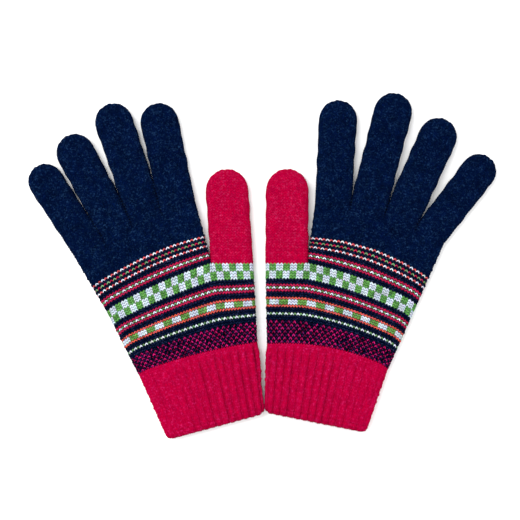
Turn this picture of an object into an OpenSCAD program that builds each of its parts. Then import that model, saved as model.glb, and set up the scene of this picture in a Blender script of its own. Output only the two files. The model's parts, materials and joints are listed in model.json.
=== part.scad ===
// A pair of knitted gloves lying flat, palm side down, fingertips towards +Y.
// Each glove is a hollow double layer of knitting: a ribbed cuff, four bands of
// the hand, four finger tubes and a thumb tube. The fabric folds upwards along
// the foot of every finger, along the foot of the thumb and along the wrist.
// Millimetres. The table is z = 0, and the origin is under the middle of the pair.

/* [Fabric] */
// Thickness of a glove as it lies flat
glove_t = 9; // [8:0.5:12]
// Thickness of one layer of knitting
wall = 1.8; // [1.4:0.1:2]
// Slack at a fold line and between one finger and the next
slack = 0.5; // [0.3:0.1:0.8]

/* [Fingers] */
// Length of the index finger from its fork to its tip
index_len = 69.5; // [60:0.5:76]
// Length of the middle finger
middle_len = 78.5; // [68:0.5:84]
// Length of the ring finger
ring_len = 71; // [62:0.5:78]
// Length of the little finger
little_len = 64.5; // [54:0.5:68]
// Length of the thumb
thumb_len = 63.5; // [54:0.5:70]
// Width of the index, middle and ring fingers near the tip
finger_w = 25; // [22:0.5:26]
// Width of the little finger near the tip
little_w = 23; // [20:0.5:24]
// Width of the thumb
thumb_w = 28; // [24:0.5:29]

/* [Left glove] */
// Lean of the index, middle, ring and little fingers, in degrees to the left
left_lean = [12.4, 18.7, 28.3, 33]; // [0:0.1:40]
// Lean of the thumb, in degrees to the left
left_thumb_lean = 3.9; // [0:0.1:6]
// Thumb side of the index finger's foot
left_index_side = [-44.8, 43.5]; // [-150:0.1:150]
// Fork between the index and middle fingers
left_fork_1 = [-68.4, 38.8]; // [-150:0.1:150]
// Fork between the middle and ring fingers
left_fork_2 = [-88.5, 30.5]; // [-150:0.1:150]
// Fork between the ring and little fingers
left_fork_3 = [-107.5, 19.5]; // [-150:0.1:150]
// Outer side of the little finger's foot
left_little_side = [-127, 7.5]; // [-150:0.1:150]
// Outer edge of the hand below the little finger
left_outer_edge = [-108, -23.5]; // [-150:0.1:150]
// Crotch between the hand and the thumb
left_crotch = [-35.4, 9]; // [-150:0.1:150]
// Inner and outer ends of the thumb's foot
left_thumb_foot = [-34.2, -5.6]; // [-60:0.1:0]
// Bottom of the thumb side's straight edge
left_thumb_edge = [-5.6, -11]; // [-60:0.1:60]
// Thumb side of the wrist
left_wrist_inner = [-2.6, -54]; // [-150:0.1:150]
// Little finger side of the wrist
left_wrist_outer = [-83.4, -71.8]; // [-150:0.1:150]
// Thumb side corner of the cuff
left_hem_inner = [0.2, -99]; // [-150:0.1:150]
// Little finger side corner of the cuff
left_hem_outer = [-63.2, -116.2]; // [-150:0.1:150]

/* [Right glove] */
// Lean of the index, middle, ring and little fingers, in degrees to the right
right_lean = [3.4, 14.5, 24.2, 37.4]; // [0:0.1:40]
// Lean of the thumb, in degrees to the right
right_thumb_lean = 0.4; // [0:0.1:6]
// Thumb side of the index finger's foot
right_index_side = [36.1, 41.5]; // [-150:0.1:150]
// Fork between the index and middle fingers
right_fork_1 = [60.3, 42.1]; // [-150:0.1:150]
// Fork between the middle and ring fingers
right_fork_2 = [83.9, 37.4]; // [-150:0.1:150]
// Fork between the ring and little fingers
right_fork_3 = [104.8, 27.3]; // [-150:0.1:150]
// Outer side of the little finger's foot
right_little_side = [122.7, 14.5]; // [-150:0.1:150]
// Outer edge of the hand below the little finger
right_outer_edge = [102.5, -31]; // [-150:0.1:150]
// Crotch between the hand and the thumb
right_crotch = [31.8, 11]; // [-150:0.1:150]
// Inner and outer ends of the thumb's foot
right_thumb_foot = [31.4, 2.6]; // [0:0.1:60]
// Bottom of the thumb side's straight edge
right_thumb_edge = [2.6, -23.3]; // [-60:0.1:60]
// Thumb side of the wrist
right_wrist_inner = [3.9, -53]; // [-150:0.1:150]
// Little finger side of the wrist
right_wrist_outer = [85.6, -68]; // [-150:0.1:150]
// Thumb side corner of the cuff
right_hem_inner = [2.6, -97.8]; // [-150:0.1:150]
// Little finger side corner of the cuff
right_hem_outer = [70.4, -111.4]; // [-150:0.1:150]

/* [Bands] */
// Height of the thumb's foot above the middle of the pair
thumb_foot_y = 1.5; // [0:0.1:3]
// Where the narrow stripes, the checks and the specks begin, on the thumb side
band_top = [20, 1, -38.5]; // [-60:0.5:30]
// Fall of those three lines towards the left glove's little finger
left_fall = [0.44, 0.44, 0.4]; // [0:0.01:0.6]
// Fall of those three lines towards the right glove's little finger
right_fall = [0.33, 0.36, 0.3]; // [0:0.01:0.6]

/* [Cuff] */
// Height of the overlocked hem
hem_h = 4; // [3:0.5:6]
// Thickness of the elastic yarn inlaid in the cuff
elastic_t = 0.5; // [0.4:0.1:0.6]
// Number of turns of the elastic yarn
elastic_turns = 4; // [2:1:6]

/* [Hidden] */

crimson = "#ba073d";
navy = "#0f162e";
leaf = "#6f9e5f";
plum = "#5a1040";
reach = 3 * wall;       // how far a tube's hollow runs on into its neighbour
beyond = 200;           // past every edge of a glove
tip_step = 10;          // degrees between the points of a round fingertip
over = 1;               // how far a cutting block stands past both faces of a glove
side_sign = [-1, 1];    // the left glove's thumb faces +X, the right glove's -X

// The gloves' outlines, thumb side first
knuckles = [
    [left_index_side, left_fork_1, left_fork_2, left_fork_3, left_little_side],
    [right_index_side, right_fork_1, right_fork_2, right_fork_3, right_little_side],
];
thumb_feet = [
    [[left_thumb_foot[1], thumb_foot_y], [left_thumb_foot[0], thumb_foot_y]],
    [[right_thumb_foot[1], thumb_foot_y], [right_thumb_foot[0], thumb_foot_y]],
];
// Crotch, outer edge, both ends of the wrist, thumb edge
edges = [
    [left_crotch, left_outer_edge, left_wrist_outer, left_wrist_inner, left_thumb_edge],
    [right_crotch, right_outer_edge, right_wrist_outer, right_wrist_inner, right_thumb_edge],
];
hems = [[left_hem_outer, left_hem_inner], [right_hem_outer, right_hem_inner]];
leans = [left_lean, right_lean];
thumb_leans = [left_thumb_lean, right_thumb_lean];
falls = [left_fall, right_fall];
finger_lens = [index_len, middle_len, ring_len, little_len];
finger_ws = [finger_w, finger_w, finger_w, little_w];

function unit(v) = v / norm(v);
function turned(v) = [-v[1], v[0]];
function reversed(list) = [for (i = [len(list) - 1:-1:0]) list[i]];
// The outline as an anticlockwise list, whichever glove it belongs to
function anticlockwise(list, g) = g == 0 ? list : reversed(list);

// An anticlockwise outline with every edge moved in by d
function inset(pts, d) = [
    for (i = [0:len(pts) - 1])
        let (
            last = pts[(i + len(pts) - 1) % len(pts)],
            next = pts[(i + 1) % len(pts)],
            n = turned(unit(pts[i] - last)),
            m = turned(unit(next - pts[i]))
        )
        pts[i] + d * (n + m) / (1 + n * m)
];

// The hand from the fingers' feet to the wrist
function hand_outline(g) = anticlockwise(
    concat(
        knuckles[g],
        [edges[g][1], edges[g][2], edges[g][3], edges[g][4]],
        [thumb_feet[g][0], thumb_feet[g][1], edges[g][0]]
    ), g);

// The cuff between the fractions from and to of the way from the wrist to the hem
function cuff_outline(g, from, to) =
    let (
        outer = edges[g][2], inner = edges[g][3],
        fall_o = hems[g][0] - outer, fall_i = hems[g][1] - inner
    )
    anticlockwise(
        [outer + fall_o * from, outer + fall_o * to,
         inner + fall_i * to, inner + fall_i * from], g);

function cuff_len(g) = norm((hems[g][0] + hems[g][1]) / 2 - (edges[g][2] + edges[g][3]) / 2);

// Plan of a digit that stands on the fold line between a and b. Its foot starts
// `foot` beyond the line, and the whole outline is `d` inside the cloth's face.
module digit_plan(a, b, g, lean, len, w, foot, d) {
    along = unit(b - a) * sign(b[0] - a[0]);
    half = norm(b - a) / 2 - slack / 2 - d;
    start = (a + b) / 2 + turned(along) * foot;
    axis = [side_sign[g] * sin(lean), cos(lean)];
    across = [axis[1], -axis[0]];
    centre = (a + b) / 2 + axis * (len - w / 2);
    polygon(concat(
        [start - along * half, start + along * half],
        [for (turn = [0:tip_step:180])
            centre + (across * cos(turn) + axis * sin(turn)) * (w / 2 - d)]));
}

// One closed tube of knitting with its mouth at the fold line
module digit(a, b, g, lean, len, w) {
    difference() {
        linear_extrude(glove_t) digit_plan(a, b, g, lean, len, w, slack / 2, 0);
        digit_hollow(a, b, g, lean, len, w);
    }
}

module digit_hollow(a, b, g, lean, len, w) {
    translate([0, 0, wall]) linear_extrude(glove_t - 2 * wall)
        digit_plan(a, b, g, lean, len, w, -reach, wall);
}

module finger(g, i) {
    digit(knuckles[g][i], knuckles[g][i + 1], g, leans[g][i], finger_lens[i], finger_ws[i]);
}

module thumb(g) {
    digit(thumb_feet[g][0], thumb_feet[g][1], g, thumb_leans[g], thumb_len, thumb_w);
}

// The hollow hand, open to each finger, to the thumb and to the cuff
module hand_shell(g) {
    difference() {
        linear_extrude(glove_t) polygon(inset(hand_outline(g), slack / 4));
        translate([0, 0, wall]) linear_extrude(glove_t - 2 * wall)
            polygon(inset(hand_outline(g), wall));
        for (i = [0:3])
            digit_hollow(knuckles[g][i], knuckles[g][i + 1], g, leans[g][i],
                         finger_lens[i], finger_ws[i]);
        digit_hollow(thumb_feet[g][0], thumb_feet[g][1], g, thumb_leans[g], thumb_len, thumb_w);
        cuff_hollow(g, -reach / cuff_len(g), 1, wall);
    }
}

module cuff_hollow(g, from, to, d) {
    translate([0, 0, d]) linear_extrude(glove_t - 2 * d)
        polygon(inset(cuff_outline(g, from - d / cuff_len(g), to), d));
}

// Where band number i starts: level on the thumb side, falling to the little finger
function band_line(g, i) =
    let (knee = [thumb_feet[g][1][0], band_top[i]], out = side_sign[g] * beyond)
    [[-out, knee[1]], knee, knee + [out, -beyond * falls[g][i]]];

// The part of the hand between the lines that start bands number upper and lower
module band(g, upper, lower) {
    high = upper < 0 ? [[-beyond, beyond], [beyond, beyond]] : band_line(g, upper);
    low = lower > 2 ? [[-beyond, -beyond], [beyond, -beyond]] : band_line(g, lower);
    intersection() {
        hand_shell(g);
        translate([0, 0, -over]) linear_extrude(glove_t + 2 * over)
            polygon(concat(high, high[0][0] * low[0][0] > 0 ? reversed(low) : low));
    }
}

// A stretch of the cuff's tube, from and to being fractions of its length
module cuff_tube(g, from, to) {
    difference() {
        linear_extrude(glove_t)
            polygon(cuff_outline(g, from, to));
        cuff_hollow(g, from - reach / cuff_len(g), to + reach / cuff_len(g), wall);
    }
}

// Turns of elastic yarn that lie against the inside of the rib
module elastic(g) {
    turn = elastic_t / cuff_len(g);
    for (i = [1:elastic_turns])
        let (at = i / (elastic_turns + 2)) difference() {
            intersection() {
                cuff_hollow(g, 0, 1, wall);
                linear_extrude(glove_t) polygon(cuff_outline(g, at, at + turn));
            }
            cuff_hollow(g, -1, 2, wall + elastic_t);
        }
}

module knuckle_panel(g) { color(navy) band(g, -1, 0); }
module stripe_band(g) { color(plum) band(g, 0, 1); }
module check_band(g) { color(leaf) band(g, 1, 2); }
module speck_band(g) { color(plum) band(g, 2, 3); }
module rib_cuff(g) { color(crimson) cuff_tube(g, slack / 2 / cuff_len(g), 1 - hem_h / cuff_len(g)); }
module cuff_hem(g) { color(crimson) cuff_tube(g, 1 - hem_h / cuff_len(g), 1); }
module cuff_elastic(g) { color("white") elastic(g); }
module thumb_tube(g) { color(crimson) thumb(g); }
module finger_tube(g, i) { color(navy) finger(g, i); }

knuckle_panel(0);  // left_knuckle_panel
stripe_band(0);  // left_stripe_band
check_band(0);  // left_check_band
speck_band(0);  // left_speck_band
rib_cuff(0);  // left_rib_cuff
cuff_hem(0);  // left_cuff_hem
cuff_elastic(0);  // left_cuff_elastic
thumb_tube(0);  // left_thumb_tube
finger_tube(0, 0);  // left_index_tube
finger_tube(0, 1);  // left_middle_tube
finger_tube(0, 2);  // left_ring_tube
finger_tube(0, 3);  // left_little_tube
knuckle_panel(1);  // right_knuckle_panel
stripe_band(1);  // right_stripe_band
check_band(1);  // right_check_band
speck_band(1);  // right_speck_band
rib_cuff(1);  // right_rib_cuff
cuff_hem(1);  // right_cuff_hem
cuff_elastic(1);  // right_cuff_elastic
thumb_tube(1);  // right_thumb_tube
finger_tube(1, 0);  // right_index_tube
finger_tube(1, 1);  // right_middle_tube
finger_tube(1, 2);  // right_ring_tube
finger_tube(1, 3);  // right_little_tube
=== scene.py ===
"""A pair of knitted gloves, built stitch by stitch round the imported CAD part.

Every visible piece is a closed shell of knitting. Its outer face is a grid of stitches: `wales` are the
columns of stitches, which run towards the fingertips, and `courses` are the rows. Metres throughout.
"""
import json
import math

import bpy
import numpy as np
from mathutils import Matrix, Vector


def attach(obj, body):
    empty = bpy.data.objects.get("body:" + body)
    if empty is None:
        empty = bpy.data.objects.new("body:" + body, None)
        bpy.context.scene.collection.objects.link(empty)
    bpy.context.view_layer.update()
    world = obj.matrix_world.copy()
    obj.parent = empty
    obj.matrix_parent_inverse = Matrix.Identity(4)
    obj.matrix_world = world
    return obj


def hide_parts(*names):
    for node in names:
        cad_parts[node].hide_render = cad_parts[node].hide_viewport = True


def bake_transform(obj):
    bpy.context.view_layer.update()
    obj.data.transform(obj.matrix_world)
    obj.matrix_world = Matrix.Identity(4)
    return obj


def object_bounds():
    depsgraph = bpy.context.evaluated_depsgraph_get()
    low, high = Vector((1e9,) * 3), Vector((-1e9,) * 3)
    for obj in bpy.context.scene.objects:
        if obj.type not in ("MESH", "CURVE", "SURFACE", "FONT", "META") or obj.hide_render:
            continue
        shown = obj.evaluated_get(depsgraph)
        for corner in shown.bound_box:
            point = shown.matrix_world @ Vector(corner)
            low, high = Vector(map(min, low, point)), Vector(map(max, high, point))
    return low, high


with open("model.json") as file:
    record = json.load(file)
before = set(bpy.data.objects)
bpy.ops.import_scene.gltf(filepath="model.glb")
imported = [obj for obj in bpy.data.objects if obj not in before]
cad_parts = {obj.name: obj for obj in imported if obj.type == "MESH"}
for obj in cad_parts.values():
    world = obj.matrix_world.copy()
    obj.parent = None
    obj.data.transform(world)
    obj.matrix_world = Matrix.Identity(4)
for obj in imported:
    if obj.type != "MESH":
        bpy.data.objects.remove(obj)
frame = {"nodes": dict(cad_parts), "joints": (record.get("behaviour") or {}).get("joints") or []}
cad_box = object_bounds()
MM = 0.001

# ---------------------------------------------------------------- the cloth
COLUMNS = 8               # mesh columns in one stitch
ROWS = 4                  # mesh rows in one stitch
PEAK = 0.62               # how far a stitch's middle stands ahead of its sides, in courses
RELIEF = 0.50 * MM        # how far the legs of a stitch stand proud
LEG_SIDES = 0.45          # height of a leg's sides, as a share of its middle's
LEG_ROUND = (0.8, 0.7)    # powers of a leg's profile along and across it: less is fuller
PLY = 1.3 * MM            # thickness of one layer of cloth
ROOM = 0.1 * MM           # least height of the space inside a tube, over its middle plane
LINING_COURSES = 3        # courses of a band to one mesh row of its inner face
HALF = 4.15 * MM          # half the thickness of a glove as it lies
WAVE = 0.05               # how much that changes over the gloves, as a share
WAVES = ((31, 0.3), (23, 1.4), (17, 2.6), (41, 2.0))     # length in mm and direction of each slow wave
REST = 0.02 * MM          # how far the lowest stitches stay off the table
MIDDLE = 4.62 * MM        # height of a glove's middle plane over the table
EDGE = 6.0 * MM           # how far from an outline the cloth starts to turn over
EDGE_POWER = 2.5          # 2 is a round edge, and more is a squarer one
COURSE = 1.8 * MM         # height of one course on a finger
SLACK = 0.22 * MM         # unevenness of the outline, course by course
SLACK_TURNS = (47, 101)   # how fast it changes on the way up a tube
SLACK_REACH = 9.0 * MM    # how far it runs into the cloth
END_POINTS = 20           # points of a course line that give the direction of its end
TUCK = 1.6 * MM           # how far a tube's foot runs on inside its neighbour
FOOT_STEP = 0.3 * MM      # how far the foot lies under its neighbour

# ---------------------------------------------------------------- the hand and cuff
SIDES = {"left": -1, "right": 1}       # the sign of X on the way from the thumb to the little finger
FINGERS = ("index", "middle", "ring", "little")
THUMB_WALES = 12                       # per face, as are the next two
FINGER_WALES = 36
HAND_WALES = THUMB_WALES + FINGER_WALES
STRIPE_COURSES = 12
KNUCKLE_COURSES = 15
STRIPE_SHARE = 0.435                   # the stripes' share of the way from the thumb's foot to the fingers
DROOP = 1.5 * MM                       # how far the courses sag towards the cuff at the outer edge
DROOP_REACH = 8.0 * MM
CORNER_REACH = 6.0 * MM                # length over which the thumb's outer corner is rounded
SPECK_SHARE = {"left": 0.255, "right": 0.295}        # the specks' share of the lower hand's thumb edge
CHECK_BOW = {"left": 1.8 * MM, "right": 2.7 * MM}    # how far the check band's top course bows up
WRIST_BOW = {"left": 2.4 * MM, "right": 5.6 * MM}    # how far the wrist's course bows up
WRIST_RISE = {"left": 3.0 * MM, "right": 0.8 * MM}   # how far its thumb end lies over the CAD wrist's
WRIST_NIP = {"left": 0.5 * MM, "right": 0.0}         # how far that end draws in
HEM_SPREAD = {"left": 1.3 * MM, "right": 0.0}        # how far the hem's thumb corner spreads out
CREASE_FADE = 9.0 * MM                 # how far the creases between the digits run into the hand
FORK_CREASE = 1.0                      # depth of the creases at the forks, where 1 shuts the tube
THUMB_CREASE = 0.6                     # depth of the crease between the thumb and the hand
CUFF_COURSES = 26
HEM_COURSES = 2
RIB_WALES = 3                          # two knit wales and one purl wale
RIB = 0.85 * MM                        # how far a rib stands out, and its furrow in
RIB_ROUND = (0.9, 0.8)                 # powers of the profiles of a rib and of its furrow
RIB_SPREAD = (0.6, 1.3)                # the least and the most that a single rib stands out, as shares
RIB_KNIT = 0.7                         # relief of the knit wales, as a share of plain knitting's
RIB_PURL = 0.4                         # relief of the purl wales, in the same way
RIB_FADE = 4                           # courses over which the rib dies out at the wrist
FLATTENED = 0.6                        # how much flatter the ribs are at the cuff's outer edge
FLAT_FROM = 0.45                       # where that starts and is complete, as shares of the cuff's width
FLAT_TO = 0.85
PLEAT = {"left": 1.6 * MM, "right": 0.0}             # depth of the pleat beside a cuff's thumb edge
PLEAT_WALE = 2.9                       # the wale it lies on at the wrist
PLEAT_LEAN = 0.9                       # the share of that which it gains on its way from the hem
PLEAT_WIDTH = 0.5                      # in wales

HEM_CORNER = 5.0 * MM                  # radius of the cuff's bottom corners
HEM_LIFT = 2.6 * MM                    # how far the hem lifts there
ROLL_STEPS = 6                         # mesh rows round the hem's rolled edge
ROLL = 0.85 * MM                       # how far the roll stands below the last course
SCALLOP = 0.3 * MM                     # how much further down it goes on a rib
LOOP_RELIEF = 0.16 * MM                # how far the slanting overlock loops stand out of it
HEM_PAINTED_SHADES = (0.62, 0.82)              # how dark the painted shade is on those loops, where the edge rolls under, and on the course above them

ELASTIC_TURNS = 4
ELASTIC_RADIUS = 0.27 * MM
ELASTIC_SIDES = 8
ELASTIC_NEST = 0.8                     # how far its middle lies off the cuff's inside, in radii
ELASTIC_WRAP = 0.12                    # how much thicker it is where its covering passes over
WRAP_POINTS = 4                        # points along the yarn to each pass of the covering
LEVEL_STEP = 0.002                     # a small step along a tube, to find its direction

# ---------------------------------------------------------------- the digits
FINGER_RING = 24                       # wales round a finger
THUMB_RING = 28
GROW = 24.0 * MM                       # where a finger reaches its full width
WAIST = 0.3 * MM                       # how much narrower it is half way along, on a side with a neighbour
FORK_CLOSING = 0.32 * MM               # how much wider it is just past a fork, where it meets its neighbour
CLOSING_STARTS = 2.0 * MM              # the lengths over which that comes in past the foot
CLOSING_FADES = 12.0 * MM              # and goes again before the full width
TOUCH = 0.12 * MM                      # how far two neighbours reach past the line midway between them
# How much longer than its tube a digit lies, where it is pulled out, or shorter where it is pushed in
STRETCH = {("left", "middle"): -0.5 * MM, ("left", "ring"): -0.5 * MM, ("left", "little"): -1.2 * MM,
           ("right", "ring"): 1.3 * MM, ("right", "little"): 0.7 * MM}
DIGIT_SLACK = 0.18 * MM                # unevenness of a digit's outline
FLANK_WAVES = (1.9 * MM, 3.1 * MM)     # how slowly it changes along the flanks
FLANK_PHASE = 900                      # how much that differs from digit to digit, for each metre of place
FLANK_FADE = 6.0 * MM                  # length over which it dies out before the tip
TIP_WAVES = (11, 23)                   # how fast it changes across the tip
TIP_PHASE = 700                        # the same as FLANK_PHASE, for the tip
TIP_POWER = 2.5                        # how late the courses of a digit start to bow towards its tip
TIP_FADE = 2                           # courses over which the stitches flatten into the tip
BEND = 19.0 * MM                       # length along a digit from its fold's joint

LINE = 400                             # points along a course line
WALE_POINTS = 220                      # points along a digit's wale
PROFILE_POINTS = 801                   # points across a digit's profile
LINING_ROWS = 12                       # mesh rows of a digit's inner face
FOOT_ZONE = 5.0 * MM                   # points of a CAD tube nearer its hinge than this are on its foot
BODY_ZONE = 15.0 * MM                  # and points past this are on its straight part and tip
LEAN = 0.2                             # how much a search direction leans, to find one corner of two
TINY = 1e-12

# ---------------------------------------------------------------- floor, light and camera
FLOOR_SIZE = 8.0
SKY_STRENGTH = 1.42
KEY_STRENGTH = 13.2
KEY_SIZE = 0.9
KEY_PLACE = (-0.6, 0.4, 1.15)
LENS = 85.0
SENSOR = 36.0
VIEW_WIDTH = 350.5 * MM                # what the camera takes in at the gloves' middle plane
VIEW_OFFSET = (-0.95 * MM, 3.75 * MM)  # where the view's middle lies from the gloves' middle


# ---------------------------------------------------------------- reading the frame
joints = {j["name"]: j for j in frame["joints"]}


def plan(node):
    """The points of a CAD node's mesh, seen from above."""
    return np.array([v.co[:2] for v in frame["nodes"][node].data.vertices])


def extreme(node, direction):
    """The point of a CAD node that lies furthest in a direction."""
    points = plan(node)
    return points[np.argmax(points @ np.array(direction, float))]


def read_digit(side, finger):
    """A digit's place: its foot's middle, its directions, and its outline in them."""
    sign = SIDES[side]
    joint = joints[f"{side}_{finger}_fold"]
    across = np.array(joint["axis"][:2])
    up = np.array([-across[1], across[0]])
    out = across * sign
    foot = np.array(joint["pos_m"][:2])
    local = (plan(f"{side}_{finger}_tube") - foot) @ np.stack([out, up], axis=1)
    low = local[local[:, 1] < FOOT_ZONE]
    high = local[local[:, 1] > BODY_ZONE]
    near = low[np.argmin(low[:, 0])]
    far = low[np.argmax(low[:, 0])]
    return {
        "foot": foot, "out": out, "up": up, "near": near, "far": far,
        "radius": (high[:, 0].max() - high[:, 0].min()) / 2,
        "length": local[:, 1].max() + STRETCH.get((side, finger), 0.0),
        "near_xy": foot + out * near[0] + up * near[1],
        "far_xy": foot + out * far[0] + up * far[1],
        "neighbours": [None, None],
    }


def read_glove(side):
    """A glove's digits, and the corners of its hand and cuff."""
    sign = SIDES[side]
    digits = {name: read_digit(side, name) for name in ("thumb",) + FINGERS}
    forks = [digits["index"]["near_xy"]]
    for a, b in zip(FINGERS, FINGERS[1:]):
        fork = (digits[a]["far_xy"] + digits[b]["near_xy"]) / 2
        forks.append(fork)
        bisector = digits[a]["up"] + digits[b]["up"]
        digits[a]["neighbours"][1] = (fork, bisector)
        digits[b]["neighbours"][0] = (fork, bisector)
    forks.append(digits["little"]["far_xy"])
    return {
        "digits": digits, "forks": np.array(forks),
        "thumb_foot": np.array([digits["thumb"]["near_xy"], digits["thumb"]["far_xy"]]),
        "check_end": extreme(f"{side}_check_band", (sign, 0)),
        "wrist": np.array([extreme(f"{side}_rib_cuff", (-LEAN * sign, 1)),
                           extreme(f"{side}_rib_cuff", (sign, LEAN))]),
        "hem": np.array([extreme(f"{side}_cuff_hem", (-sign, -1)),
                         extreme(f"{side}_cuff_hem", (LEAN * sign, -1))]),
    }


# ---------------------------------------------------------------- lines and profiles
def lengths(points):
    """How far along a line each of its points lies."""
    steps = np.linalg.norm(np.diff(points, axis=0), axis=1)
    return np.concatenate([[0], np.cumsum(steps)])


def resample(points, count=LINE):
    """The same line with its points equally spaced."""
    along = lengths(points)
    at = np.linspace(0, along[-1], count)
    return np.stack([np.interp(at, along, points[:, k]) for k in (0, 1)], axis=1)


def bowed(a, b, bow, count=LINE):
    """A line from a to b that bows towards the fingertips."""
    t = np.linspace(0, 1, count)[:, None]
    d = b - a
    normal = np.array([-d[1], d[0]]) / np.linalg.norm(d)
    normal = normal * np.sign(normal[1])
    return a + d * t + normal * bow * 4 * t * (1 - t)


def softened(points, reach):
    """The line with its corners rounded over the given length, and its ends kept."""
    line = resample(points)
    step = lengths(line)[-1] / (len(line) - 1)
    n = max(1, int(reach / step))
    before = 2 * line[0] - line[1:n + 1][::-1]
    after = 2 * line[-1] - line[-n - 1:-1][::-1]
    padded = np.concatenate([before, line, after])
    window = np.hanning(2 * n + 3)[1:-1]
    window = window / window.sum()
    return np.stack([np.convolve(padded[:, k], window, "valid") for k in (0, 1)], axis=1)


def smoothstep(x):
    x = np.clip(x, 0, 1)
    return x * x * (3 - 2 * x)


def turned_edge(distance):
    """Height share of the cloth at a distance from the outline: 0 on it, and 1 further in than EDGE."""
    short = 1 - np.clip(distance / EDGE, 0, 1)
    return (1 - short ** EDGE_POWER) ** (1 / EDGE_POWER)


def drooped(line, towards):
    """The line with its outer end sagging towards the given point, along the outline."""
    from_end = lengths(line[::-1])[::-1]
    pull = (towards - line[-1]) / np.linalg.norm(towards - line[-1])
    return line + pull * DROOP * ((1 - np.clip(from_end / DROOP_REACH, 0, 1)) ** 2)[:, None]


def wave(xy):
    """A slow, fixed unevenness of the cloth between about -1 and 1."""
    x, y = xy[..., 0], xy[..., 1]
    total = 0
    for turn, (length, angle) in enumerate(WAVES):
        k = 2 * math.pi / (length * MM)
        total = total + np.sin(k * (x * math.cos(angle) + y * math.sin(angle)) + 1.7 * turn)
    return total / len(WAVES)


def bumps(first, second):
    """Two waves that hardly ever fall together."""
    return np.sin(first) + 0.8 * np.sin(second)


def slack_ends(line, level):
    """The line with its ends a little further out or in, by an amount that changes with the level."""
    slack = SLACK * np.sin(math.pi * level) * bumps(SLACK_TURNS[0] * level, SLACK_TURNS[1] * level + 1)
    from_start = lengths(line)
    from_end = from_start[-1] - from_start
    first = line[0] - line[END_POINTS]
    first = first / np.linalg.norm(first)
    last = line[-1] - line[-1 - END_POINTS]
    last = last / np.linalg.norm(last)
    line = line + first * (slack * (1 - smoothstep(from_start / SLACK_REACH)))[:, None]
    return line + last * (slack * (1 - smoothstep(from_end / SLACK_REACH)))[:, None]


# ---------------------------------------------------------------- the hand's and the cuff's tubes
def rings(low, high, levels, wales, creases=(), inset=0.0):
    """Rings of points round a flattened tube, at levels from 0 on line low to 1 on line high.

    A level is one number, or one for each point of a line. `creases` are (place, depth) pairs: where on line
    high, as a share of its length, the tube divides into its lobes, and how deep it folds in there. `inset`
    is how far the rings lie inside the tube's outer surface."""
    half_count = wales * COLUMNS
    share = np.linspace(0, 1, half_count + 1)
    height = np.linalg.norm(high - low, axis=1).mean()
    grid = np.empty((len(levels), 2 * half_count, 3))
    for row, level in enumerate(levels):
        level = np.broadcast_to(level, LINE)
        line = slack_ends(low * (1 - level)[:, None] + high * level[:, None], level)
        along = lengths(line)
        width = along[-1]
        bulk = turned_edge(np.minimum(along, width - along))
        near_high = smoothstep(1 - (1 - level) * height / CREASE_FADE)
        for place, depth in creases:
            fold = 1 - turned_edge(np.abs(along - place * width))
            bulk = np.minimum(bulk, 1 - depth * near_high * fold)
        half = HALF * bulk * (1 + WAVE * wave(line))
        path = lengths(np.column_stack([line, half]))
        at = np.interp(share * path[-1], path, along)
        half_at = np.interp(at, along, half)
        at = inset + at * (1 - 2 * inset / width)
        xy = np.stack([np.interp(at, along, line[:, k]) for k in (0, 1)], axis=1)
        if inset:
            half_at = np.maximum(half_at - inset, ROOM * (half_at > 0))
        grid[row, :half_count + 1, :2] = xy
        grid[row, :half_count + 1, 2] = MIDDLE + half_at
        grid[row, half_count + 1:, :2] = xy[1:-1][::-1]
        grid[row, half_count + 1:, 2] = MIDDLE - half_at[1:-1][::-1]
    return grid


def outward(grid):
    """Normals of a grid of rings, pointing out of the tube, and whether its faces need turning over."""
    around = np.roll(grid, -1, axis=1) - np.roll(grid, 1, axis=1)
    along = np.gradient(grid, axis=0)
    normal = np.cross(around, along)
    normal /= np.maximum(np.linalg.norm(normal, axis=2, keepdims=True), TINY)
    top = normal[:, grid.shape[1] // 4, 2].mean()
    return normal * np.sign(top), top < 0


def at_rows(grid, rows):
    """Points of a grid at fractional rows, which are given for every row and column."""
    low = np.clip(np.floor(rows).astype(int), 0, len(grid) - 2)
    part = (rows - low)[..., None]
    columns = np.arange(grid.shape[1])
    return grid[low, columns] * (1 - part) + grid[low + 1, columns] * part


# ---------------------------------------------------------------- stitches
def peak_of(columns):
    """How far each mesh column runs ahead, in courses, so that a course is a row of little roofs."""
    across = (columns % COLUMNS) / COLUMNS
    return PEAK * (0.5 - np.abs(2 * across - 1))


def stocking(rows, columns):
    """Height of plain knitting: two rounded legs in each stitch, which sink in at both ends."""
    leg = 1 - np.abs(4 * (columns % COLUMNS) / COLUMNS % 2 - 1)
    bulge = np.sin(math.pi * (rows % ROWS) / ROWS) ** LEG_ROUND[0]
    return RELIEF * bulge * (LEG_SIDES + (1 - LEG_SIDES) * leg ** LEG_ROUND[1])


def rib_strength(columns, seed):
    """How strongly each rib stands out: they differ, and they flatten towards the outer edge."""
    share = 1 - np.abs(columns / (HAND_WALES * COLUMNS) - 1)
    flat = smoothstep((share - FLAT_FROM) / (FLAT_TO - FLAT_FROM))
    random = np.random.default_rng(seed)
    each = random.uniform(*RIB_SPREAD, 2 * HAND_WALES // RIB_WALES)
    return each[columns // (COLUMNS * RIB_WALES)] * (1 - FLATTENED * flat)


def ribbing(rows, columns, strength):
    """Height of the rib: two knit wales stand out and the purl wale between them lies back."""
    place = (columns / COLUMNS) % RIB_WALES
    knit = place < RIB_WALES - 1
    ridge = np.sin(math.pi * place / (RIB_WALES - 1)).clip(0) ** RIB_ROUND[0]
    furrow = np.sin(math.pi * (place - RIB_WALES + 1)).clip(0) ** RIB_ROUND[1]
    shape = np.where(knit, ridge, -furrow)
    purl = RIB_PURL * RELIEF * np.sin(math.pi * (rows % ROWS) / ROWS)
    return RIB * shape * strength + np.where(knit, RIB_KNIT * stocking(rows, columns), purl)


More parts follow.
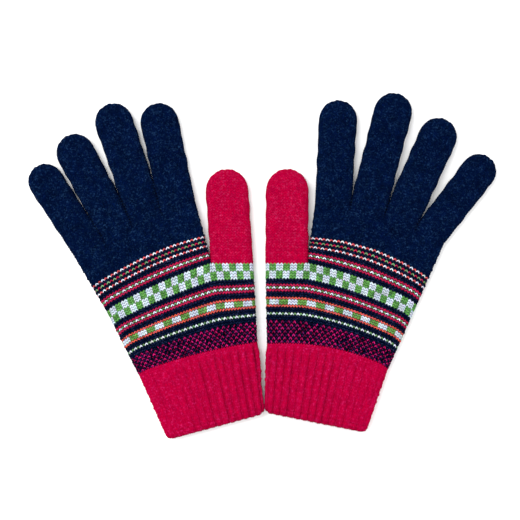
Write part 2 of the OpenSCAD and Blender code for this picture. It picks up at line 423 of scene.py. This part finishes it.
# ---------------------------------------------------------------- colours
def linear(r, g, b):
    """sRGB from 0 to 255 as linear RGB."""
    c = np.array([r, g, b]) / 255
    return np.where(c <= 0.04045, c / 12.92, ((c + 0.055) / 1.055) ** 2.4)


# Each yarn's colour, and how uneven it is from leg to leg of a stitch
YARNS = {
    "navy": (linear(3, 13, 37), 0.16),
    "melange": (linear(1, 10, 38), 0.14),
    "crimson": (linear(150, 0, 44), 0.06),
    "ruby": (linear(163, 24, 64), 0.18),
    "speck": (linear(146, 14, 74), 0.55),
    "leaf": (linear(92, 137, 66), 0.22),
    "fern": (linear(84, 139, 66), 0.24),
    "moss": (linear(104, 142, 98), 0.25),
    "white": (linear(190, 202, 215), 0.08),
    "snow": (linear(214, 222, 234), 0.1),
    "coral": (linear(205, 84, 68), 0.2),
    "salmon": (linear(200, 82, 88), 0.25),
}
# Painted shade: the material darkens the gaps between the legs of the stitches towards black, by these
# amounts
BLOCK_GAP_SHADE = 0.66          # how dark the painted shade in the gaps between stitches is in a block of colour, where 1 is black
THIN_GAP_SHADE = 0.85           # in a course of one colour
LONE_GAP_SHADE = 0.95           # in a course that changes colour every stitch or so
PLAIN_GAP_SHADE = 0.25          # in the plain tubes
RIB_GAP_SHADE = 0.2             # in the cuff
TINT = 0.05               # how much the hue changes from leg to leg
NAVY = ("navy",)
RED = ("ruby",)
CORAL = ("coral", "coral", "salmon")
MIXED = ("moss", "snow")
CHECKS = [("white", "white", "fern", "fern")] * 3 + [("fern", "fern", "white", "white")] * 3
BLOCKS = [CORAL] + [("leaf", "leaf", "white", "white", "white", "leaf")] * 2 + [CORAL]
# Courses from the fingers down to the cuff
STRIPE_CHART = [("salmon", "snow"), NAVY, ("moss", "ruby"), NAVY, ("snow", "salmon"), NAVY, NAVY,
                RED, MIXED, RED, NAVY, NAVY]
CHECK_CHART = CHECKS + [NAVY, NAVY, RED, MIXED, RED, NAVY, NAVY] + BLOCKS + [NAVY, NAVY, MIXED, NAVY, NAVY]
SPECK_CHART = [("speck", "navy"), ("navy", "speck")] * 3 + [("speck", "navy")]
CHECK_COURSES = len(CHECK_CHART)
SPECK_COURSES = len(SPECK_CHART)
HAND_COURSES = CHECK_COURSES + SPECK_COURSES


def stitch_of(yarn, gap_shade):
    """A stitch's colour, how dark the painted shade in its gaps is, and how uneven its yarn is."""
    colour, unevenness = YARNS[yarn]
    return [*colour, gap_shade, unevenness]


def chart_colours(chart, wales_round):
    """Every stitch, course by course from the cuff side, from a chart that starts at the fingers.

    A lone stitch gets the darkest painted shade in its gaps, because it sinks in between the stitches on
    either side."""
    grid = np.empty((len(chart), wales_round, 5))
    for course, pattern in enumerate(reversed(chart)):
        gap_shade = {1: THIN_GAP_SHADE, 2: LONE_GAP_SHADE, 3: LONE_GAP_SHADE}.get(len(pattern), BLOCK_GAP_SHADE)
        for wale in range(wales_round):
            grid[course, wale] = stitch_of(pattern[wale % len(pattern)], gap_shade)
    return grid


def plain_colours(yarn, courses, wales_round, gap_shade=PLAIN_GAP_SHADE):
    """Every stitch of a piece in one yarn."""
    return np.tile(stitch_of(yarn, gap_shade), (courses, wales_round, 1))


def uneven(stitches, seed):
    """Colour and painted shade in the gaps of the two legs of every stitch, each a little off the yarn's own
    in tone and tint.
    """
    random = np.random.default_rng(seed)
    legs = np.repeat(stitches, 2, axis=1)
    amount = legs[..., 4:]
    tone = 1 + amount * random.standard_normal((*legs.shape[:2], 1)).clip(-2, 2)
    tint = 1 + TINT * random.standard_normal((*legs.shape[:2], 3)).clip(-2, 2)
    return np.concatenate([legs[..., :3] * tone * tint, legs[..., 3:4]], axis=2)


# ---------------------------------------------------------------- meshes
def grid_faces(rows, columns, first, turned):
    """Quads of a grid of rings, whose vertices are numbered from `first`."""
    index = first + np.arange(rows * columns).reshape(rows, columns)
    ahead = np.roll(index, -1, axis=1)
    quads = np.stack([index[:-1], ahead[:-1], ahead[1:], index[1:]], axis=2).reshape(-1, 4)
    return quads[:, ::-1] if turned else quads


def rim_faces(outer_row, inner_row, turned):
    """Quads that join the outer and the inner face along one ring."""
    quads = np.stack([outer_row, inner_row, np.roll(inner_row, -1), np.roll(outer_row, -1)], axis=1)
    return quads[:, ::-1] if turned else quads


def shell(name, outer, inner, colours, turned, closed=False):
    """One shell of knitting with the grids of rings `outer` and `inner` as its faces, from the foot to the
    top. It is a tube that is open at the top, or whose last ring is zipped flat, as a fingertip's is."""
    rows, columns = outer.shape[:2]
    inner_rows = inner.shape[0]
    count = rows * columns
    points = np.concatenate([outer.reshape(-1, 3), inner.reshape(-1, 3)])
    outside = grid_faces(rows, columns, 0, turned)
    inside = grid_faces(inner_rows, columns, count, not turned)
    ring = np.arange(columns)
    rims = [rim_faces(ring, count + ring, turned)]
    if not closed:
        top = (rows - 1) * columns + ring
        inner_top = count + (inner_rows - 1) * columns + ring
        rims.append(rim_faces(top, inner_top, not turned))
    faces = np.concatenate([outside, inside] + rims)
    if closed:
        same = np.arange(len(points))
        half = columns // 2
        for last in ((rows - 1) * columns, count + (inner_rows - 1) * columns):
            same[last + half + 1:last + columns] = last + np.arange(half - 1, 0, -1)
        kept, faces = np.unique(same[faces], return_inverse=True)
        faces = faces.reshape(-1, 4)
        points = points[kept]

    courses, legs = colours.shape[:2]
    leg_columns = COLUMNS // 2
    face_row, face_column = np.divmod(np.arange((rows - 1) * columns), columns)
    stitch = colours[np.minimum(face_row // ROWS, courses - 1), (face_column // leg_columns) % legs]
    lining = np.tile(colours.mean(axis=(0, 1)), (len(inside), 1))
    rim_legs = (ring // leg_columns) % legs
    # each face's yarn colour, with the painted shade of its gaps in the fourth channel
    yarn = np.concatenate([stitch, lining] + [colours[end, rim_legs] for end in (0, -1)[:len(rims)]])

    strand = np.zeros((len(faces), 4, 3))
    corner_row = np.stack([face_row, face_row, face_row + 1, face_row + 1], axis=1)
    corner_column = np.stack([face_column, face_column + 1, face_column + 1, face_column], axis=1)
    if turned:
        corner_row, corner_column = corner_row[:, ::-1], corner_column[:, ::-1]
    strand[:len(outside), :, 0] = corner_column / COLUMNS
    strand[:len(outside), :, 1] = corner_row / ROWS
    return mesh_object(name, points, faces, yarn, strand)


def mesh_object(name, points, faces, yarn, strand):
    """A mesh of quads that carries the colour of each face's yarn and the painted shade of its gaps, the
    place of each point at rest, and where each corner lies in its stitch."""
    mesh = bpy.data.meshes.new(name)
    mesh.vertices.add(len(points))
    mesh.vertices.foreach_set("co", points.astype(np.float32).ravel())
    mesh.loops.add(faces.size)
    mesh.loops.foreach_set("vertex_index", faces.astype(np.int32).ravel())
    mesh.polygons.add(len(faces))
    mesh.polygons.foreach_set("loop_start", np.arange(0, faces.size, 4, dtype=np.int32))
    mesh.polygons.foreach_set("use_smooth", np.ones(len(faces), bool))
    mesh.update(calc_edges=True)
    for attribute, kind, domain, field, values in (
            ("yarn", "FLOAT_COLOR", "FACE", "color", yarn),
            ("rest", "FLOAT_VECTOR", "POINT", "vector", points),
            ("strand", "FLOAT_VECTOR", "CORNER", "vector", strand)):
        data = mesh.attributes.new(attribute, kind, domain).data
        data.foreach_set(field, values.astype(np.float32).ravel())
    piece = bpy.data.objects.new(name, mesh)
    bpy.context.scene.collection.objects.link(piece)
    return piece


# ---------------------------------------------------------------- bands of the hand
def tube_of(low, high, level_of, courses, wales, creases=()):
    """What a tube's bands are cut from: its rings and their smooth surface, which has a ring for every mesh
    row, and a course more at both ends for the peaks of the stitches."""
    course = np.arange(-ROWS, (courses + 1) * ROWS + 1) / ROWS
    surface = rings(low, high, [level_of(c) for c in course], wales, creases)
    normal, turned = outward(surface)

    def lining(first, last, count):
        levels = [level_of(c) for c in np.linspace(first, last, count)]
        return rings(low, high, levels, wales, creases, PLY)

    return {"surface": surface, "normal": normal, "turned": turned, "wales": wales, "lining": lining}


def band(name, tube, first, courses, colours, relief, foot_inset=0.0):
    """The stretch of a tube from course `first` on, as a shell with the given relief."""
    rows = np.arange(courses * ROWS + 1)[:, None]
    columns = np.arange(2 * tube["wales"] * COLUMNS)[None, :]
    at = rows + (first + 1 + peak_of(columns)) * ROWS
    lift = relief(rows, columns) - foot_inset * smoothstep(1 - rows / ROWS)
    outer = rested(at_rows(tube["surface"], at) + at_rows(tube["normal"], at) * lift[..., None])
    inner = tube["lining"](first, first + courses, 2 + courses // LINING_COURSES)
    return shell(name, outer, inner, colours, tube["turned"])


def rested(points):
    """The points with what would sink into the table pressed flat on it."""
    points[..., 2] = np.maximum(points[..., 2], REST)
    return points


def two_stage(share, first_courses, second_courses):
    """The level of a course on a tube whose first courses take the given share of it. The share may change
    along the course."""
    def level_of(course):
        first = share * course / first_courses
        second = share + (1 - share) * (course - first_courses) / second_courses
        return np.where(course < first_courses, first, second)
    return level_of


def hand(side, glove, seed):
    """The hand, which is two tubes: one over the course that the thumb stands on, and one under it."""
    thumb_foot = glove["thumb_foot"]
    slope = bowed(thumb_foot[1], glove["check_end"], CHECK_BOW[side])
    check_line = softened(np.concatenate([thumb_foot[:1], slope]), CORNER_REACH)
    check_line = drooped(check_line, glove["wrist"][1])
    corner = np.linalg.norm(thumb_foot[1] - thumb_foot[0]) / lengths(check_line)[-1]
    bands = upper_hand(side, glove, resample(check_line[int(corner * LINE):]), seed)
    bands += lower_hand(side, glove, check_line, corner, seed + 2)
    for piece, node, slot in bands:
        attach(piece, f"{side}_hand")
        stands_for(piece, f"{side}_{node}", slot)


def upper_hand(side, glove, stripe_line, seed):
    """The stripes and the knuckles, from beside the thumb to the four fingers."""
    along = lengths(glove["forks"])
    creases = [(place, FORK_CREASE) for place in along[1:-1] / along[-1]]
    level_of = two_stage(STRIPE_SHARE, STRIPE_COURSES, KNUCKLE_COURSES)
    tube = tube_of(stripe_line, resample(glove["forks"]), level_of, STRIPE_COURSES + KNUCKLE_COURSES,
                   FINGER_WALES, creases)
    around = 2 * FINGER_WALES
    stripes = band(f"{side}_stripe_knit", tube, 0, STRIPE_COURSES,
                   uneven(chart_colours(STRIPE_CHART, around), seed), stocking, FOOT_STEP)
    knuckles = band(f"{side}_knuckle_knit", tube, STRIPE_COURSES, KNUCKLE_COURSES,
                    uneven(plain_colours("melange", KNUCKLE_COURSES, around), seed + 1), stocking)
    return [(stripes, "stripe_band", "stripe_jacquard"), (knuckles, "knuckle_panel", "navy_melange")]


def lower_hand(side, glove, check_line, corner, seed):
    """The specks and the checks, from the wrist to the thumb's foot and the stripes."""
    shares = np.linspace(SPECK_SHARE[side], SPECK_COURSES / HAND_COURSES, LINE)
    level_of = two_stage(shares, SPECK_COURSES, CHECK_COURSES)
    tube = tube_of(glove["wrist_line"], check_line, level_of, HAND_COURSES, HAND_WALES,
                   [(corner, THUMB_CREASE)])
    around = 2 * HAND_WALES
    specks = band(f"{side}_speck_knit", tube, 0, SPECK_COURSES,
                  uneven(chart_colours(SPECK_CHART, around), seed), stocking)
    checks = band(f"{side}_check_knit", tube, SPECK_COURSES, CHECK_COURSES,
                  uneven(chart_colours(CHECK_CHART, around), seed + 1), stocking)
    return [(specks, "speck_band", "speck_jacquard"), (checks, "check_band", "check_jacquard")]


def stands_for(piece, node, slot):
    """Puts a piece in its CAD node's place, with the material of its slot."""
    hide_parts(node)
    piece.data.materials.append(materials[slot])


# ---------------------------------------------------------------- the cuff
def cuff_level(course):
    return course / CUFF_COURSES


def cuff(side, glove, seed):
    """The rib, the hem under it and the elastic yarn inside it."""
    wrist = glove["wrist_line"]
    hem = hem_line(glove, HEM_SPREAD[side])
    tube = tube_of(hem, wrist, cuff_level, CUFF_COURSES, HAND_WALES)
    rib_courses = CUFF_COURSES - HEM_COURSES

    def rib_relief(rows, columns):
        fade = smoothstep((rib_courses - rows / ROWS) / RIB_FADE)
        centre = PLEAT_WALE * (1 - PLEAT_LEAN + PLEAT_LEAN * rows / ROWS / rib_courses)
        pleat = PLEAT[side] * np.exp(-((columns / COLUMNS - centre) / PLEAT_WIDTH) ** 2)
        return ribbing(rows, columns, fade * rib_strength(columns, seed)) - pleat * fade

    colours = plain_colours("crimson", rib_courses, 2 * HAND_WALES, RIB_GAP_SHADE)
    rib = band(f"{side}_rib_knit", tube, HEM_COURSES, rib_courses, uneven(colours, seed), rib_relief)
    edge = hem_piece(side, tube, seed)
    elastic = elastic_yarn(side, hem, wrist)

    joint = joints[f"{side}_cuff_fold"]
    axis = np.array(joint["axis"])
    down = np.array([axis[1], -axis[0], 0.0])
    down = -down * np.sign(down[1])
    for piece in (rib, elastic):
        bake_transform(piece)
    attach(edge, f"{side}_cuff")
    stands_for(rib, f"{side}_rib_cuff", "crimson_rib")
    stands_for(edge, f"{side}_cuff_hem", "crimson_hem")
    stands_for(elastic, f"{side}_cuff_elastic", "elastic_yarn")


def hem_line(glove, spread):
    """The cuff's bottom edge, which lifts at its corners."""
    inner, outer = glove["hem"]
    inwards = (inner - outer) / np.linalg.norm(inner - outer)
    line = bowed(inner + inwards * spread, outer, 0.0)
    along = lengths(line)
    from_end = np.minimum(along, along[-1] - along)
    lift = HEM_LIFT * (1 - turned_edge(from_end * EDGE / HEM_CORNER))
    up = glove["wrist_line"].mean(axis=0) - line.mean(axis=0)
    up = up / np.linalg.norm(up)
    return line + up * lift[:, None]


def hem_piece(side, tube, seed):
    """The last courses of the rib, whose edge rolls under and is held by slanting overlock loops."""
    rows = np.arange(HEM_COURSES * ROWS + 1)[:, None]
    columns = np.arange(2 * HAND_WALES * COLUMNS)[None, :]
    at = rows + ROWS + peak_of(columns) * ROWS * smoothstep(rows / ROWS)
    strength = rib_strength(columns, seed)
    lift = ribbing(rows, columns, strength)
    outer = at_rows(tube["surface"], at) + at_rows(tube["normal"], at) * lift[..., None]
    inner = tube["lining"](0, HEM_COURSES, 3)
    below = outer[0] - outer[ROWS]
    below = below / np.linalg.norm(below, axis=1, keepdims=True)
    middle = (outer[0] + inner[0]) / 2
    turn = np.linspace(0, math.pi, ROLL_STEPS + 1)[1:-1]
    loops = LOOP_RELIEF * np.sin(2 * math.pi * (columns[0] / COLUMNS + turn[:, None] / math.pi))
    rib = np.sin(math.pi * (columns[0] / COLUMNS % RIB_WALES) / (RIB_WALES - 1)).clip(0)
    drop = ROLL + SCALLOP * strength[0] * rib
    roll = [middle + (outer[0] - middle) * math.cos(a) + below * ((drop + loop) * math.sin(a))[:, None]
            for a, loop in zip(turn, loops)]
    outer = rested(np.concatenate([np.array(roll)[::-1], outer]))
    colours = uneven(plain_colours("crimson", HEM_COURSES + 2, 2 * HAND_WALES, RIB_GAP_SHADE), seed + 1)
    # Painted shade: the rolled edge and the course above it are darkened
    colours[:2, :, :3] *= np.array(HEM_PAINTED_SHADES)[:, None, None]
    return shell(f"{side}_hem_knit", outer, inner, colours, tube["turned"])


def elastic_yarn(side, hem, wrist):
    """Turns of covered elastic that lie against the inside of the rib."""
    points, faces = [], []
    angle = np.arange(ELASTIC_SIDES) * 2 * math.pi / ELASTIC_SIDES
    for turn in range(ELASTIC_TURNS):
        level = 1 - (turn + 1) / (ELASTIC_TURNS + 2)
        levels = [level - LEVEL_STEP, level, level + LEVEL_STEP]
        around = rings(hem, wrist, levels, HAND_WALES // 2, (), PLY + ELASTIC_RADIUS * ELASTIC_NEST)
        normal, _ = outward(around)
        path, out = around[1], normal[1]
        along = around[2] - around[0]
        along = along / np.linalg.norm(along, axis=1, keepdims=True)
        wrap = 1 + ELASTIC_WRAP * np.sin(2 * math.pi * np.arange(len(path)) / WRAP_POINTS)
        round_it = out[:, None] * np.cos(angle)[:, None] + along[:, None] * np.sin(angle)[:, None]
        tube = path[:, None] + ELASTIC_RADIUS * wrap[:, None, None] * round_it
        first = sum(len(p) for p in points)
        index = first + np.arange(len(path) * ELASTIC_SIDES).reshape(len(path), ELASTIC_SIDES)
        ahead, beside = np.roll(index, -1, axis=0), np.roll(index, -1, axis=1)
        corner = np.roll(ahead, -1, axis=1)
        quads = np.stack([index, beside, corner, ahead], axis=2).reshape(-1, 4)
        points.append(tube.reshape(-1, 3))
        faces.append(quads)
    points, faces = np.concatenate(points), np.concatenate(faces)
    yarn = np.tile([*YARNS["crimson"][0], 0.0], (len(faces), 1))
    return mesh_object(f"{side}_elastic_yarn", points, faces, yarn, np.zeros((len(faces), 4, 3)))


# ---------------------------------------------------------------- digits
def flank_width(digit, side_index, s):
    """Half width of a digit on its thumb side (0) or its outer side (1), at distance s from its foot."""
    foot = digit["near"] if side_index == 0 else digit["far"]
    start = abs(foot[0])
    full = digit["radius"]
    straight = digit["length"] - full
    neighbour = digit["neighbours"][side_index]
    if neighbour is None:
        return start + (full - start) * np.clip(s / straight, 0, 1)
    fork, bisector = neighbour
    way = -1 if side_index == 0 else 1
    fork_out = (fork - digit["foot"]) @ digit["out"] * way
    fork_up = (fork - digit["foot"]) @ digit["up"]
    spread = (bisector @ digit["out"]) * way / (bisector @ digit["up"])
    limit = fork_out + (s - fork_up) * spread + TOUCH
    grown = start + (full - start) * smoothstep(s / GROW)
    closing = smoothstep(s / CLOSING_STARTS) * smoothstep((GROW - s) / CLOSING_FADES)
    grown = grown + FORK_CLOSING * closing
    grown = grown - WAIST * np.sin(math.pi * np.clip(s / straight, 0, 1))
    return np.minimum(grown, np.maximum(limit, start))


def digit_slack(digit, side_index, s):
    """Unevenness of a digit's outline, which fades out towards its foot and its tip."""
    phase = FLANK_PHASE * digit["foot"][0] + 2 * side_index
    slack = DIGIT_SLACK * bumps(s / FLANK_WAVES[0] + phase, s / FLANK_WAVES[1] + 2 * phase)
    straight = digit["length"] - digit["radius"]
    return slack * smoothstep(s / GROW) * smoothstep((straight - s) / FLANK_FADE)


def tip_slack(digit, part):
    """Unevenness of a digit's round tip, at a share of its half width."""
    phase = TIP_PHASE * digit["foot"][0]
    slack = DIGIT_SLACK * bumps(TIP_WAVES[0] * part + phase, TIP_WAVES[1] * part + 2 * phase)
    return slack * math.sqrt(max(0.0, 1 - part * part))


def wale_paths(digit, wales, inset):
    """The path of every mesh column over a digit's upper face, in points of (out, up, half height)."""
    radius, length = digit["radius"] - inset, digit["length"] - inset
    centre = length - radius
    share = np.linspace(0, 1, wales * COLUMNS + 1)
    # The columns are equally spaced round the straight part
    across = np.linspace(-1, 1, PROFILE_POINTS)
    profile = np.column_stack([across * radius, HALF * turned_edge((1 - np.abs(across)) * radius)])
    along = lengths(profile)
    column_across = np.interp(share * along[-1], along, across)
    step = 1 - (1 - np.linspace(0, 1, WALE_POINTS)) ** 2
    paths = np.empty((len(share), WALE_POINTS, 3))
    for i, part in enumerate(column_across):
        side_index = 0 if part < 0 else 1
        foot_up = np.interp(part, [-1, 1], [digit["near"][1], digit["far"][1]]) - TUCK
        rise = radius * math.sqrt(max(0.0, 1 - part * part))
        end = centre + rise + tip_slack(digit, part)
        s = foot_up + (end - foot_up) * step
        width = flank_width(digit, side_index, s) + digit_slack(digit, side_index, s) - inset
        width = np.where(s > centre, radius, width)
        out = part * width
        beyond = np.maximum(s - centre, 0) * rise / max(end - centre, TINY)
        inside = np.where(s > centre, radius - np.hypot(out, beyond), width * (1 - abs(part)))
        place = digit["foot"] + out[:, None] * digit["out"] + s[:, None] * digit["up"]
        half = (HALF - inset) * turned_edge(inside.clip(0)) * (1 + WAVE * wave(place))
        paths[i] = np.column_stack([out, s, half])
    return paths


def digit_grid(digit, wales, travel, inset=0.0):
    """Points of a digit for every row and column of `travel`, the share of the way from foot to tip."""
    paths = wale_paths(digit, wales, inset)
    half_count = wales * COLUMNS
    rows = travel.shape[0]
    grid = np.empty((rows, 2 * half_count, 3))
    middle = lengths(paths[half_count // 2])[-1]
    for column in range(2 * half_count):
        path = paths[column if column <= half_count else 2 * half_count - column]
        face = 1 if column <= half_count else -1
        along = lengths(path)
        t = travel[:, column]
        at = middle * t - (middle - along[-1]) * t ** TIP_POWER
        out, s, half = (np.interp(at, along, path[:, k]) for k in range(3))
        grid[:, column, :2] = digit["foot"] + out[:, None] * digit["out"] + s[:, None] * digit["up"]
        grid[:, column, 2] = MIDDLE + face * half
    return grid


def digit_piece(side, finger, digit, seed):
    """One finger or thumb: straight wales that end along the round tip, where the two faces are joined."""
    is_thumb = finger == "thumb"
    wales = (THUMB_RING if is_thumb else FINGER_RING) // 2
    courses = round(digit["length"] / COURSE)
    columns = np.arange(2 * wales * COLUMNS)[None, :]
    rows = np.arange(courses * ROWS + 1)[:, None]
    course = rows / ROWS
    settle = np.clip((courses - course) / TIP_FADE, 0, 1)
    travel = (course + peak_of(columns) * np.minimum(settle, course)) / courses
    base = digit_grid(digit, wales, travel)
    normal, turned = outward(base)
    lift = stocking(rows, columns) * settle - FOOT_STEP * smoothstep(1 - course)
    outer = rested(base + normal * lift[..., None])
    inner_travel = np.linspace(0, 1, LINING_ROWS)[:, None] * np.ones_like(columns)
    inner = digit_grid(digit, wales, inner_travel, PLY)
    yarn = "crimson" if is_thumb else "melange"
    colours = uneven(plain_colours(yarn, courses, 2 * wales), seed)
    piece = shell(f"{side}_{finger}_knit", outer, inner, colours, turned, closed=True)
    start = np.array(joints[f"{side}_{finger}_fold"]["pos_m"])
    end = start + np.append(digit["up"], 0) * BEND
    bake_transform(piece)
    stands_for(piece, f"{side}_{finger}_tube", "crimson_plain" if is_thumb else "navy_melange")


# ---------------------------------------------------------------- materials
def node(tree, kind, inputs=(), **settings):
    """A shader node with its inputs set to values or linked to other nodes' outputs."""
    made = tree.nodes.new(kind)
    for key, value in settings.items():
        setattr(made, key, value)
    for socket, value in dict(inputs).items():
        if isinstance(value, bpy.types.NodeSocket):
            tree.links.new(value, made.inputs[socket])
        else:
            made.inputs[socket].default_value = value
    return made


def wool(name, fleck, fleck_share, tone=0.16):
    """Brushed wool: the stitch's own colour, lighter fibres in it, slow changes of tone, painted shade in the
    gaps round the legs of the stitches, twisted plies and fine fuzz as bump, and the soft sheen of loose
    fibres."""
    material = bpy.data.materials.new(name)
    material.use_nodes = True
    tree = material.node_tree
    tree.nodes.clear()
    stitch = node(tree, "ShaderNodeAttribute", attribute_name="yarn")
    yarn, gap_shade = stitch.outputs["Color"], stitch.outputs["Alpha"]
    rest = node(tree, "ShaderNodeAttribute", attribute_name="rest").outputs["Vector"]
    strand = node(tree, "ShaderNodeAttribute", attribute_name="strand").outputs["Vector"]

    fibres = node(tree, "ShaderNodeTexNoise", {
        "Vector": rest, "Scale": 850.0, "Detail": 4.0, "Roughness": 0.6})
    slow = node(tree, "ShaderNodeTexNoise", {"Vector": rest, "Scale": 130.0, "Detail": 3.0})
    patches = node(tree, "ShaderNodeTexNoise", {"Vector": rest, "Scale": 300.0, "Detail": 2.0})
    density = node(tree, "ShaderNodeMapRange", {
        "Value": patches.outputs["Fac"], "From Min": 0.35, "From Max": 0.65, "To Min": 0.25, "To Max": 1.9})
    share = node(tree, "ShaderNodeMapRange", {
        "Value": fibres.outputs["Fac"], "From Min": 0.50, "From Max": 0.72,
        "To Min": 0.0, "To Max": fleck_share})
    share = node(tree, "ShaderNodeMath", {0: share.outputs[0], 1: density.outputs[0]}, operation="MULTIPLY")
    flecked = node(tree, "ShaderNodeMix", {"Factor": share.outputs[0], "A": yarn, "B": (*fleck, 1)},
                   data_type="RGBA")
    light = node(tree, "ShaderNodeMapRange", {
        "Value": slow.outputs["Fac"], "From Min": 0.3, "From Max": 0.7,
        "To Min": 1 - tone, "To Max": 1 + tone})

    parts = node(tree, "ShaderNodeSeparateXYZ", {0: strand})
    along = node(tree, "ShaderNodeMath", {0: parts.outputs[0], 1: 0.25}, operation="PINGPONG")
    across = node(tree, "ShaderNodeMath", {0: parts.outputs[1], 1: 0.5}, operation="PINGPONG")
    # Painted shade: the colour darkens towards black in the gaps round the legs of the stitches, as deep as
    # each stitch's painted shade says
    belly = node(tree, "ShaderNodeMapRange", {
        "Value": along.outputs[0], "From Max": 0.20, "To Min": 0.35, "To Max": 1.0})
    slim = node(tree, "ShaderNodeMath", {0: gap_shade, 1: 0.19}, operation="MULTIPLY")
    wide = node(tree, "ShaderNodeMath", {0: slim.outputs[0], 1: 0.16}, operation="ADD")
    crown = node(tree, "ShaderNodeMapRange", {
        "Value": across.outputs[0], "From Min": slim.outputs[0], "From Max": wide.outputs[0]})
    stand = node(tree, "ShaderNodeMath", {0: belly.outputs[0], 1: crown.outputs[0]}, operation="MULTIPLY")
    darkest_painted_shade = node(tree, "ShaderNodeMath", {0: 1.0, 1: gap_shade}, operation="SUBTRACT")
    painted_gap_shade = node(tree, "ShaderNodeMapRange", {
        "Value": stand.outputs[0], "From Max": 0.85, "To Min": darkest_painted_shade.outputs[0], "To Max": 1.0})
    light = node(tree, "ShaderNodeMath", {0: light.outputs[0], 1: painted_gap_shade.outputs[0]},
                 operation="MULTIPLY")
    toned = node(tree, "ShaderNodeVectorMath", {0: flecked.outputs["Result"], 3: light.outputs[0]},
                 operation="SCALE")

    leg = node(tree, "ShaderNodeMath", {0: parts.outputs[0], 1: 0.5}, operation="PINGPONG")
    slant = node(tree, "ShaderNodeMath", {0: leg.outputs[0], 1: 26.0}, operation="MULTIPLY")
    twist = node(tree, "ShaderNodeMath", {0: parts.outputs[1], 1: 19.0, 2: slant.outputs[0]},
                 operation="MULTIPLY_ADD")
    plies = node(tree, "ShaderNodeMath", {0: twist.outputs[0]}, operation="SINE")
    fuzz = node(tree, "ShaderNodeTexNoise", {
        "Vector": rest, "Scale": 3200.0, "Detail": 5.0, "Roughness": 0.7})
    height = node(tree, "ShaderNodeMath", {0: plies.outputs[0], 1: 0.16, 2: fuzz.outputs["Fac"]},
                  operation="MULTIPLY_ADD")
    bump = node(tree, "ShaderNodeBump", {
        "Height": height.outputs[0], "Strength": 0.6, "Distance": 0.25 * MM})

    shader = node(tree, "ShaderNodeBsdfPrincipled", {
        "Base Color": toned.outputs[0], "Normal": bump.outputs[0], "Roughness": 0.92,
        "Specular IOR Level": 0.0, "Sheen Weight": 0.006, "Sheen Roughness": 0.5})
    out = node(tree, "ShaderNodeOutputMaterial")
    tree.links.new(shader.outputs[0], out.inputs[0])
    return material


def floor_material():
    material = bpy.data.materials.new("pale_floor")
    material.use_nodes = True
    tree = material.node_tree
    shader = tree.nodes["Principled BSDF"]
    grain = node(tree, "ShaderNodeTexNoise", {"Scale": 40.0, "Detail": 2.0})
    tint = node(tree, "ShaderNodeMapRange", {"Value": grain.outputs["Fac"], "To Min": 0.90, "To Max": 0.92})
    tree.links.new(tint.outputs[0], shader.inputs["Base Color"])
    shader.inputs["Roughness"].default_value = 0.8
    shader.inputs["Specular IOR Level"].default_value = 0.1
    return material


materials = {
    "navy_melange": wool("navy_melange", linear(32, 60, 94), 0.38, 0.22),
    "stripe_jacquard": wool("stripe_jacquard", linear(70, 78, 130), 0.3),
    "check_jacquard": wool("check_jacquard", linear(70, 78, 130), 0.3),
    "speck_jacquard": wool("speck_jacquard", linear(84, 41, 119), 0.45),
    "crimson_plain": wool("crimson_plain", linear(204, 58, 112), 0.27, 0.05),
    "crimson_rib": wool("crimson_rib", linear(200, 40, 112), 0.32, 0.05),
    "crimson_hem": wool("crimson_hem", linear(200, 40, 112), 0.32, 0.05),
    "elastic_yarn": wool("elastic_yarn", linear(206, 70, 118), 0.3, 0.05),
}


# ---------------------------------------------------------------- the gloves
for number, side in enumerate(SIDES):
    glove = read_glove(side)
    wrist_in, wrist_out = glove["wrist"]
    rise = np.array([WRIST_NIP[side] * SIDES[side], WRIST_RISE[side]])
    wrist_line = resample(bowed(wrist_in + rise, wrist_out, WRIST_BOW[side]))
    glove["wrist_line"] = drooped(wrist_line, glove["hem"][1])
    # Every piece draws its unevenness from a seed of its own
    first_seed = 100 * (number + 1)
    hand(side, glove, first_seed)
    cuff(side, glove, first_seed + 10)
    for offset, finger in enumerate(("thumb",) + FINGERS):
        digit_piece(side, finger, glove["digits"][finger], first_seed + 20 + offset)


# ---------------------------------------------------------------- the stage
def floor():
    bpy.ops.mesh.primitive_plane_add(size=FLOOR_SIZE, location=(0, 0, 0))
    plane = bpy.context.object
    plane.name = "floor"
    plane.data.materials.append(floor_material())


def lights():
    """An even white surround, and one large soft lamp from the upper left."""
    world = bpy.data.worlds.new("studio")
    bpy.context.scene.world = world
    world.use_nodes = True
    background = world.node_tree.nodes["Background"]
    background.inputs["Color"].default_value = (1.0, 1.0, 1.0, 1.0)
    background.inputs["Strength"].default_value = SKY_STRENGTH
    key = bpy.data.lights.new("key", "AREA")
    key.shape = "DISK"
    key.size = KEY_SIZE
    key.energy = KEY_STRENGTH
    lamp = bpy.data.objects.new("key", key)
    lamp.location = KEY_PLACE
    lamp.rotation_euler = (-lamp.location).to_track_quat("-Z", "Y").to_euler()
    bpy.context.scene.collection.objects.link(lamp)


def camera():
    """A long lens that looks straight down on the pair."""
    low, high = cad_box
    data = bpy.data.cameras.new("camera")
    data.lens = LENS
    data.sensor_width = SENSOR
    data.clip_start = 0.01
    data.clip_end = 50.0
    eye = bpy.data.objects.new("camera", data)
    eye.location = ((low.x + high.x) / 2 + VIEW_OFFSET[0], (low.y + high.y) / 2 + VIEW_OFFSET[1],
                    (low.z + high.z) / 2 + VIEW_WIDTH * LENS / SENSOR)
    bpy.context.scene.collection.objects.link(eye)
    bpy.context.scene.camera = eye


floor()
lights()
camera()
bpy.context.scene.view_settings.view_transform = "Standard"
